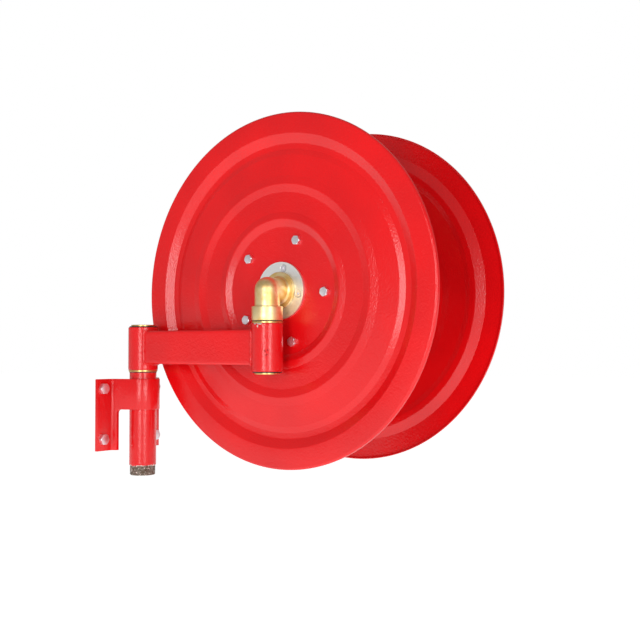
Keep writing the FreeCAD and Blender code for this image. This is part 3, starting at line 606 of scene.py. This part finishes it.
class REEL_OT_elbow(Operator):
    """Makes the cast elbow: a leg, a rounded turn and a run with a flare, remeshed so that they blend"""
    bl_idname = "reel.elbow"
    bl_label = "Cast elbow"

    cap_radius = 23.65
    cap_height = 21.7
    cap_step = 1.2              # the cap's inner edge lies this far under its top
    body_radius = 19.15
    ring_radius = 28.4
    ring_thickness = 4.3
    flare = 4.0                 # how far the run widens, and over what length, before the ring
    overlap = 0.5
    voxel = 0.75
    smoothing = 12              # passes that turn the inner corners into fillets

    def execute(self, context):
        low, high = box_mm("brass_elbow")
        corner = Vector((HUB.x, 0, HUB.z))
        body, ring_start, cap_top = self.body_radius, high.y - self.ring_thickness, low.z + self.cap_height
        leg = corner.z - low.z - 2              # it starts inside the cap
        run = ring_start + 2 * self.overlap
        flare = self.flare + 2 * self.overlap
        flare_middle = ring_start - self.flare / 2 + self.overlap
        lying = Matrix.Rotation(math.radians(-90), 4, "X")
        bm = bmesh.new()
        bmesh.ops.create_uvsphere(bm, u_segments=LATHE_STEPS, v_segments=LATHE_STEPS // 2, radius=body,
                                  matrix=Matrix.Translation(corner))
        for first, last, length, place in (
                (body, body, leg, Matrix.Translation(corner - Z * leg / 2)),
                (body, body, run, Matrix.Translation(corner + Y * run / 2) @ lying),
                (body - self.overlap, body + self.flare, flare,
                 Matrix.Translation(corner + Y * flare_middle) @ lying)):
            bmesh.ops.create_cone(bm, cap_ends=True, segments=LATHE_STEPS, radius1=first, radius2=last,
                                  depth=length, matrix=place)
        casting = finish_piece(bm, "elbow_casting", "elbow", "sand_cast_brass", ("brass_elbow",))
        modify(casting, "blend", "REMESH", mode="VOXEL", voxel_size=self.voxel * MM, use_smooth_shade=True)
        modify(casting, "fillets", "SMOOTH", factor=0.5, iterations=self.smoothing)
        cap = turn([(0, low.z), (self.cap_radius, low.z), (self.cap_radius, cap_top), (body + 1.2, cap_top),
                    (body + 0.6, cap_top - self.cap_step), (0, cap_top - self.cap_step)],
                   [0, 0.8, 1.4, 0.3, 0, 0], Vector((HUB.x, 0, 0)), Z)
        finish_piece(cap, "elbow_cap", "elbow", "sand_cast_brass")
        ring = turn([(0, ring_start), (self.ring_radius, ring_start), (self.ring_radius, high.y), (0, high.y)],
                    [0, 0.9, 0.4, 0], corner, Y)
        finish_piece(ring, "elbow_ring", "elbow", "sand_cast_brass")
        return {"FINISHED"}


# ---- Arm ----
class REEL_OT_arm(Operator):
    """Makes the box-section arm, its two collars and the weld beads between them"""
    bl_idname = "reel.arm"
    bl_label = "Arm and collars"

    collar_rows = 24
    plain = 2.0                 # band at a collar's ends without rows, clear of its rounded edges
    side_cuts = 15              # across each straight side of the tube's section
    length_cuts = 20            # along the tube
    sunk = 0.4                  # how far the tube's ends reach into the collars
    ripples = ((0.35, 0.35), (0.9, 0.175))      # fineness, and height as a share of the bead's radius

    def collar(self, node, edge):
        low, high = box_mm(node)
        radius, rows = radius_mm(node), self.collar_rows
        profile = [(SWIVEL_BORE, low.z), (radius, low.z)]
        height = high.z - low.z - 2 * self.plain
        profile += [(radius, low.z + self.plain + height * k / rows) for k in range(rows + 1)]
        profile += [(radius, high.z), (SWIVEL_BORE, high.z)]
        bends = [0.4, edge] + [0] * (rows + 1) + [edge, 0.4]
        bm = turn(profile, bends, Vector((middle_mm(node).x, 0, 0)), Z)
        finish_piece(bm, node + "_turned", "arm", "worn_powder_coat", (node,))
        return radius

    def bead(self, name, outline, radius):
        """A weld bead along a closed outline, rippled as it was laid."""
        curve = bpy.data.curves.new(name, "CURVE")
        curve.dimensions = "3D"
        curve.bevel_depth = radius
        curve.bevel_resolution = 3
        line = curve.splines.new("POLY")
        line.points.add(len(outline) - 1)
        for point, place in zip(line.points, outline):
            point.co = (*place, 1)
        line.use_cyclic_u = True
        holder = bpy.data.objects.new(name, curve)
        bm = bmesh.new()
        bm.from_mesh(bpy.data.meshes.new_from_object(holder))
        bpy.data.objects.remove(holder)
        bmesh.ops.remove_doubles(bm, verts=bm.verts, dist=5 * MERGE)
        bmesh.ops.subdivide_edges(bm, edges=bm.edges[:], cuts=1, use_grid_fill=True)
        bm.normal_update()
        for vert in bm.verts:
            vert.co += vert.normal * uneven(vert.co, self.ripples) * radius
        finish_piece(bm, name, "arm", "powder_coat")

    def tube(self, corner, collar_radius):
        """The arm's tube, its ends shaped to the collars, and the outline of its section."""
        low, high = box_mm("arm_box")
        bm = bmesh.new()
        corners = ((low.y, low.z), (high.y, low.z), (high.y, high.z), (low.y, high.z))
        for vert in wire(bm, [Vector((INLET.x, y, z)) for y, z in corners], closed=True):
            round_corner(bm, vert, corner)
        straight = [e for e in bm.edges if e.calc_length() > corner]
        bmesh.ops.subdivide_edges(bm, edges=straight, cuts=self.side_cuts)
        outline = self.in_order(bm)
        length = HUB.x - INLET.x
        grown = bmesh.ops.extrude_edge_only(bm, edges=bm.edges[:])["geom"]
        ends = [g for g in grown if isinstance(g, bmesh.types.BMVert)]
        bmesh.ops.translate(bm, vec=X * length, verts=ends)
        rows = [e for e in bm.edges if abs(e.verts[0].co.x - e.verts[1].co.x) > length / 2]
        bmesh.ops.subdivide_edges(bm, edges=rows, cuts=self.length_cuts)
        for vert in bm.verts:
            reach = math.sqrt((collar_radius - self.sunk) ** 2 - vert.co.y ** 2)
            share = (vert.co.x - INLET.x) / length
            vert.co.x = INLET.x + reach + share * (length - 2 * reach)
        tidy(bm)
        return bm, outline

    def execute(self, context):
        arm = context.scene.reel_arm
        radius = self.collar("inlet_collar", arm.collar_edge / MM)
        self.collar("hub_collar", arm.collar_edge / MM)
        bm, outline = self.tube(arm.tube_corner / MM, radius)
        finish_piece(bm, "arm_tube", "arm", "powder_coat", ("arm_box",))
        weld = arm.weld_radius / MM
        skin = radius + weld * 0.15
        for name, axis_x, side in (("inlet_weld", INLET.x, 1), ("hub_weld", HUB.x, -1)):
            ring = [Vector((axis_x + side * math.sqrt(skin ** 2 - p.y ** 2), p.y, p.z)) for p in outline]
            self.bead(name, ring, weld)
        return {"FINISHED"}

    def in_order(self, bm):
        """The places along a closed wire, one after the other."""
        vert = bm.verts[:][0]
        edge = vert.link_edges[0]
        places = []
        for _ in range(len(bm.verts)):
            places.append(vert.co.copy())
            vert = edge.other_vert(vert)
            edge = [e for e in vert.link_edges if e is not edge][0]
        return places


class REEL_OT_swivels(Operator):
    """Makes the turned rings, seals, washers and nuts at both ends of the two collars"""
    bl_idname = "reel.swivels"
    bl_label = "Swivel rings"

    pieces = (
        ("thrust_ring", 0.5, "lathe_turned_brass"),
        ("dust_seal", 0.3, "moulded_rubber"),
        ("end_washer", 0.35, "machined_acetal"),
    )
    washer_bore = 14.0
    dimple_depth = 0.8          # in the middle of a nut's end

    def execute(self, context):
        for side, body, centre_x in (("inlet", "bracket", INLET.x), ("outlet", "elbow", HUB.x)):
            centre = Vector((centre_x, 0, 0))
            for kind, edge, finish in self.pieces:
                node = side + "_" + kind
                low, high = box_mm(node)
                inner = self.washer_bore if kind == "end_washer" else SWIVEL_BORE
                profile = ring_profile(inner, radius_mm(node), low.z, high.z)
                bm = turn(profile, [edge, edge, 0, 0], centre, Z)
                finish_piece(bm, node + "_turned", body, finish, (node,))
            node = side + "_end_nut"
            low, high = box_mm(node)
            radius = radius_mm(node)
            seat, end, dimple = low.z, high.z, high.z - self.dimple_depth
            if side == "outlet":
                seat, end, dimple = high.z, low.z, low.z + self.dimple_depth
            profile = [(0, seat), (radius, seat), (radius, end), (radius * 0.42, end),
                       (radius * 0.36, dimple), (0, dimple)]
            bm = turn(profile, [0, 0.2, 0.7, 0.5, 0.3, 0], centre, Z)
            finish_piece(bm, node + "_turned", body, "lathe_turned_brass", (node,))
        return {"FINISHED"}


class REEL_OT_inlet(Operator):
    """Makes the inlet pipe: painted tube, ragged paint edge and a bare cut thread"""
    bl_idname = "reel.inlet"
    bl_label = "Inlet pipe"

    bore = 17.5
    thread_length = 16.0
    thread_radius = 20.955
    thread_lead = 1.5           # length over which the thread's end tapers
    tube_rows = 40
    rows_per_turn = 8
    ragged = ((0.18, 1.4), (0.5, 0.9))          # fineness and height of the paint's edge

    def execute(self, context):
        low, high = box_mm("inlet_pipe")
        radius = radius_mm("inlet_pipe")
        bare_top = low.z + self.thread_length
        centre = Vector((INLET.x, 0, 0))
        rows = self.tube_rows
        step = (high.z - 1 - bare_top - 1) / rows
        profile = [(self.thread_radius - 0.6, bare_top), (radius - 0.25, bare_top)]
        profile += [(radius, bare_top + 1 + step * k) for k in range(rows + 1)]
        profile += [(radius, high.z), (self.bore, high.z), (self.bore, bare_top)]
        tube = turn(profile, [0] * (rows + 3) + [0.5, 0, 0], centre, Z)
        for vert in self.outside(tube, centre):
            if abs(vert.co.z - bare_top) < 0.1:
                vert.co.z += uneven(vert.co, self.ragged)
        finish_piece(tube, "inlet_tube", "bracket", "frayed_powder_coat", ("inlet_pipe",))
        rows = round(self.thread_length / THREAD_PITCH * self.rows_per_turn)
        step = (self.thread_length + 2) / rows
        profile = [(self.thread_radius, low.z + step * k) for k in range(rows + 1)]
        profile += [(self.bore, bare_top + 2), (self.bore, low.z)]
        thread = turn(profile, [0] * len(profile), centre, Z)
        for vert in self.outside(thread, centre):
            away = vert.co - centre
            turns = (vert.co.z - low.z) / THREAD_PITCH + math.atan2(away.y, away.x) / (2 * math.pi)
            groove = abs(2 * (turns % 1) - 1) * THREAD_DEPTH
            taper = max(0.0, 1 - (vert.co.z - low.z) / self.thread_lead)
            away.z = 0
            vert.co -= away.normalized() * (groove + taper)
        bmesh.ops.recalc_face_normals(thread, faces=thread.faces)
        finish_piece(thread, "inlet_thread", "bracket", "bare_thread")
        return {"FINISHED"}

    def outside(self, bm, centre):
        """The vertices that are not on the bore."""
        return [v for v in bm.verts if (v.co - centre).xy.length > self.bore + 1]


class REEL_OT_bracket(Operator):
    """Bends the wall bracket from plate round the inlet pipe and cuts the relief under its saddle"""
    bl_idname = "reel.bracket"
    bl_label = "Wall bracket"

    plate = 5.5
    neck = 39.2                 # half the width between the bends
    bend = 4.0
    arc_steps = 48              # facets round the saddle
    saddle_height = 50.0
    lip = 13.5                  # front edge of the side plates under the saddle
    lip_corner = 6.0
    room = 200.0                # size of the block that cuts the relief, enough to clear the bracket
    edge = 0.7

    def flange(self, bm, outer_y, bend_y, face, height, end):
        """Half of the bracket's section: a wall flange, its bend and the side that runs to end."""
        verts = wire(bm, [Vector((face, outer_y, height)), Vector((face, bend_y, height)), end], closed=False)
        round_corner(bm, verts[1], self.bend, 6)
        return verts[2]

    def relief(self, high):
        """What is cut away in front of the lips, under the saddle."""
        bm = bmesh.new()
        top = high.z - self.saddle_height
        bmesh.ops.create_cube(bm, size=self.room)
        bmesh.ops.translate(bm, vec=(self.lip + self.room / 2, 0, top - self.room / 2), verts=bm.verts)
        corner = [e for e in bm.edges if all(v.co.x < self.lip + 1 and v.co.z > top - 1 for v in e.verts)]
        bmesh.ops.bevel(bm, geom=corner, offset=self.lip_corner, offset_type="OFFSET", segments=8, profile=0.5,
                        affect="EDGES", material=-1)
        return bm

    def execute(self, context):
        low, high = box_mm("wall_bracket")
        saddle = high.x - INLET.x
        face = low.x + self.plate
        centre = Vector((INLET.x, 0, low.z))
        reach = Vector((face - INLET.x, -self.neck))
        angle = math.atan2(reach.y, reach.x) + math.acos(saddle / reach.length)
        touch = centre + Vector((math.cos(angle), math.sin(angle), 0)) * saddle
        bm = bmesh.new()
        first = self.flange(bm, low.y, -self.neck, face, low.z, touch)
        arc = bmesh.ops.spin(bm, geom=[first], cent=centre, axis=Z, dvec=(0, 0, 0), angle=-2 * angle,
                             steps=self.arc_steps, use_merge=False, use_normal_flip=False,
                             use_duplicate=False)["geom_last"]
        self.flange(bm, high.y, self.neck, face, low.z, arc[0].co)
        bmesh.ops.remove_doubles(bm, verts=bm.verts, dist=MERGE)
        grown = bmesh.ops.extrude_edge_only(bm, edges=bm.edges[:])["geom"]
        tops = [g for g in grown if isinstance(g, bmesh.types.BMVert)]
        bmesh.ops.translate(bm, vec=Z * (high.z - low.z), verts=tops)
        tidy(bm)
        thicken(bm, X, self.plate)
        bm = taken_away(bm, self.relief(high))
        sharp = [e for e in bm.edges if e.calc_face_angle(0.0) > math.radians(50)]
        bmesh.ops.bevel(bm, geom=sharp, offset=self.edge, offset_type="OFFSET", segments=2, profile=0.5,
                        affect="EDGES", clamp_overlap=True, material=-1)
        finish_piece(bm, "bracket_plate", "bracket", "powder_coat", ("wall_bracket",))
        return {"FINISHED"}


class REEL_OT_fasteners(Operator):
    """Makes the hexagon bolts and nuts, each turned to its own angle as it was tightened"""
    bl_idname = "reel.fasteners"
    bl_label = "Bolts and nuts"

    # node, body, axis, angle of the first in degrees, and how much further each next one is turned
    pieces = (
        ("wall_bolts", "bracket", X, 28, 2),
        ("front_disc_bolts", "reel", Y, 13, 37),
        ("rear_disc_bolts", "reel", Y, 20, 41),
        ("front_disc_nuts", "reel", Y, 5, 23),
        ("rear_disc_nuts", "reel", Y, 9, 31),
        ("axle_nut", "elbow", Y, 12, 0),
    )

    def execute(self, context):
        edge = context.scene.reel_fasteners.edge
        for node, body, axis, first, further in self.pieces:
            bm = copy_of(node)
            for count, island in enumerate(sorted(islands(bm), key=lambda verts: centre_of(verts)[:])):
                centre = centre_of(island)
                angle = math.radians(first + further * count)
                bmesh.ops.rotate(bm, cent=centre, matrix=Matrix.Rotation(angle, 3, axis), verts=island)
            piece = finish_piece(bm, node + "_made", body, "zinc_plate", (node,))
            round_edges(piece, edge, 25)
        return {"FINISHED"}


class REEL_OT_outlet(Operator):
    """Makes the drum's outlet: pipe, locknut, elbow and the ribbed tail that a hose is clamped on"""
    bl_idname = "reel.outlet"
    bl_label = "Drum outlet"

    pieces = (
        ("outlet_pipe", 0.3, "lathe_turned_steel"),
        ("outlet_elbow", 0.8, "sand_cast_brass"),
        ("outlet_locknut", 0.5, "lathe_turned_brass"),
        ("hose_tail", 0.3, "lathe_turned_brass"),
    )

    def execute(self, context):
        for node, edge, finish in self.pieces:
            piece = finish_piece(copy_of(node), node + "_made", "reel", finish, (node,))
            round_edges(piece, edge * MM)
        return {"FINISHED"}


class REEL_OT_inner(Operator):
    """Gives the CAD pieces that stay in view their finishes"""
    bl_idname = "reel.inner"
    bl_label = "Inner pieces"

    finishes = {
        "lathe_turned_brass": ("inlet_spindle", "outlet_spindle", "hub_shaft"),
        "lathe_turned_steel": ("hub_circlip", "axle_rod", "hub_backing_ring", "rear_backing_ring"),
        "zinc_plate": ("axle_washer", "front_disc_washers", "rear_disc_washers"),
        "moulded_rubber": ("inlet_seals", "outlet_seals", "hub_seals"),
        "machined_acetal": ("rear_bush",),
    }

    def execute(self, context):
        for finish, nodes in self.finishes.items():
            for node in nodes:
                paint_node(node, finish)
        return {"FINISHED"}


# ---- Stage ----
class REEL_OT_stage(Operator):
    """Sets the plain floor, the white surround, two tall softboxes and the camera"""
    bl_idname = "reel.stage"
    bl_label = "Stage"

    floor_size = 30.0
    floor_glow = 0.72           # lifts the floor to an even white, with only a soft shadow
    camera_place = Vector((1.2874, -1.2626, 0.1031))
    camera_turn = (91.637, 0.0, 35.265)
    softboxes = ((13.0, 2.2), (57.0, 2.2))      # azimuth and distance of each, from the reel
    softbox_size = (0.62, 1.15)
    softbox_lift = 0.05         # how far each stands above the reel's axis, as a share of its distance

    def floor(self, drop):
        bm = bmesh.new()
        bmesh.ops.create_grid(bm, x_segments=1, y_segments=1, size=self.floor_size,
                              matrix=Matrix.Translation((0, 0, -drop)))
        floor = placed("floor", mesh_of("floor", bm))
        made, tree, shader, place = blank("pale_floor")
        mottle = add(tree, "ShaderNodeTexNoise", {"Vector": place, "Scale": 3.0, "Detail": 2.0})
        pale = add(tree, "ShaderNodeMix", {0: mottle.outputs[0], 6: linear("FCFCFC"), 7: linear("F8F8F8")},
                   data_type="RGBA")
        feed(tree, shader, {"Base Color": pale.outputs[2], "Roughness": 0.9,
                            "Emission Color": linear("FFFFFF"), "Emission Strength": self.floor_glow})
        floor.data.materials.append(made)

    def surround(self, scene, strength):
        """White where the camera sees it, and dimmer as a source of light."""
        scene.world = bpy.data.worlds.new("white_surround")
        scene.world.use_nodes = True
        tree = scene.world.node_tree
        tree.nodes.clear()
        seen, fill = (add(tree, "ShaderNodeBackground", {"Color": linear("FFFFFF"), "Strength": power})
                      for power in (1.0, strength))
        ray = add(tree, "ShaderNodeLightPath")
        mix = add(tree, "ShaderNodeMixShader",
                  {0: ray.outputs["Is Camera Ray"], 1: fill.outputs[0], 2: seen.outputs[0]})
        add(tree, "ShaderNodeOutputWorld", {"Surface": mix.outputs[0]})

    def softbox(self, name, azimuth, distance, power):
        aim = HUB * MM
        turned = math.radians(azimuth)
        lamp = bpy.data.lights.new(name, "AREA")
        lamp.shape = "RECTANGLE"
        lamp.size, lamp.size_y = self.softbox_size
        lamp.energy = power
        holder = placed(name, lamp)
        holder.location = aim + Vector((math.sin(turned), -math.cos(turned), self.softbox_lift)) * distance
        holder.rotation_euler = (aim - holder.location).to_track_quat("-Z", "Y").to_euler()

    def execute(self, context):
        stage = context.scene.reel_stage
        self.floor(stage.floor_drop)
        self.surround(context.scene, stage.surround)
        for count, (azimuth, distance) in enumerate(self.softboxes):
            self.softbox(f"softbox_{count + 1}", azimuth, distance, stage.lamp_power)
        lens = bpy.data.cameras.new("camera")
        lens.lens = stage.lens
        lens.sensor_width = 36.0
        camera = placed("camera", lens)
        camera.location = self.camera_place
        camera.rotation_euler = [math.radians(a) for a in self.camera_turn]
        context.scene.camera = camera
        context.scene.view_settings.view_transform = "Standard"
        return {"FINISHED"}


OPERATORS = (
    REEL_OT_discs, REEL_OT_drum, REEL_OT_hub, REEL_OT_elbow, REEL_OT_arm, REEL_OT_swivels, REEL_OT_inlet,
    REEL_OT_bracket, REEL_OT_fasteners, REEL_OT_outlet, REEL_OT_inner, REEL_OT_stage,
)
GROUPS = {
    "reel_finish": FinishSettings,
    "reel_discs": DiscSettings,
    "reel_arm": ArmSettings,
    "reel_fasteners": FastenerSettings,
    "reel_stage": StageSettings,
}


class REEL_PT_panel(Panel):
    """Lists the pieces and their settings in the 3D view's sidebar"""
    bl_label = "Fire hose reel"
    bl_idname = "REEL_PT_panel"
    bl_space_type = "VIEW_3D"
    bl_region_type = "UI"
    bl_category = "Hose reel"

    def draw(self, context):
        for operator in OPERATORS:
            self.layout.operator(operator.bl_idname)
        for name, group in GROUPS.items():
            box = self.layout.box()
            for prop in group.__annotations__:
                box.prop(getattr(context.scene, name), prop)


def register():
    for group in GROUPS.values():
        bpy.utils.register_class(group)
    for operator in OPERATORS:
        bpy.utils.register_class(operator)
    bpy.utils.register_class(REEL_PT_panel)
    for name, group in GROUPS.items():
        setattr(bpy.types.Scene, name, PointerProperty(type=group))


def unregister():
    for name in GROUPS:
        delattr(bpy.types.Scene, name)
    bpy.utils.unregister_class(REEL_PT_panel)
    for operator in reversed(OPERATORS):
        bpy.utils.unregister_class(operator)
    for group in reversed(list(GROUPS.values())):
        bpy.utils.unregister_class(group)


def main():
    register()
    for operator in OPERATORS:
        area, name = operator.bl_idname.split(".")
        getattr(getattr(bpy.ops, area), name)()


if __name__ == "__main__":
    main()
